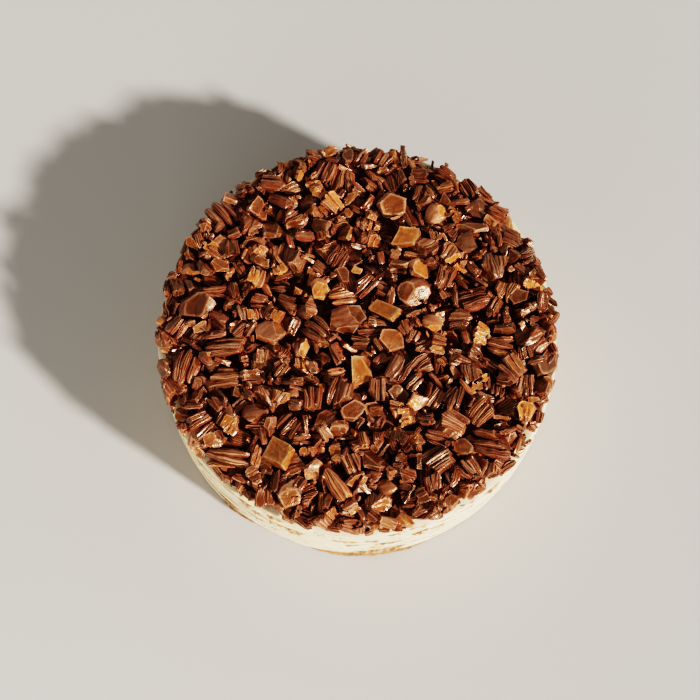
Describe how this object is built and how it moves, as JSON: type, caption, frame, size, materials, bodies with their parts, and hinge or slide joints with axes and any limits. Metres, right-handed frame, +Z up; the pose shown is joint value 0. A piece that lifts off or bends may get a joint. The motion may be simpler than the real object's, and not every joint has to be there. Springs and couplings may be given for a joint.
{
  "type": "mille crepe cake",
  "caption": "Round layer cake of thin crepes and cream, its side scraped smooth, under a heap of glazed chopped pecans.",
  "frame": {"origin": "middle of the cake's base, on the surface it stands on", "axes": "+Z up through the layers, +Y to the back, -Y to the front where the lowest crepe sticks out, +X to the right"},
  "size_m": [0.2068, 0.2075, 0.0762],
  "materials": {
    "crepe": "soft golden pancake with browned edges",
    "cream": "satin ivory cream",
    "pecan": "caramel-glazed chopped nuts"
  },
  "bodies": {
    "root": {"crepe_01": "crepe", "cream_01": "cream", "crepe_02": "crepe", "cream_02": "cream", "crepe_03": "crepe", "cream_03": "cream", "crepe_04": "crepe", "cream_04": "cream", "crepe_05": "crepe", "cream_05": "cream", "crepe_06": "crepe", "cream_06": "cream", "crepe_07": "crepe", "cream_07": "cream", "crepe_08": "crepe", "cream_08": "cream", "crepe_09": "crepe", "cream_09": "cream", "crepe_10": "crepe", "cream_10": "cream", "crepe_11": "crepe", "cream_11": "cream", "crepe_12": "crepe", "cream_12": "cream", "pecan_topping": "pecan"}
  },
  "joints": []
}
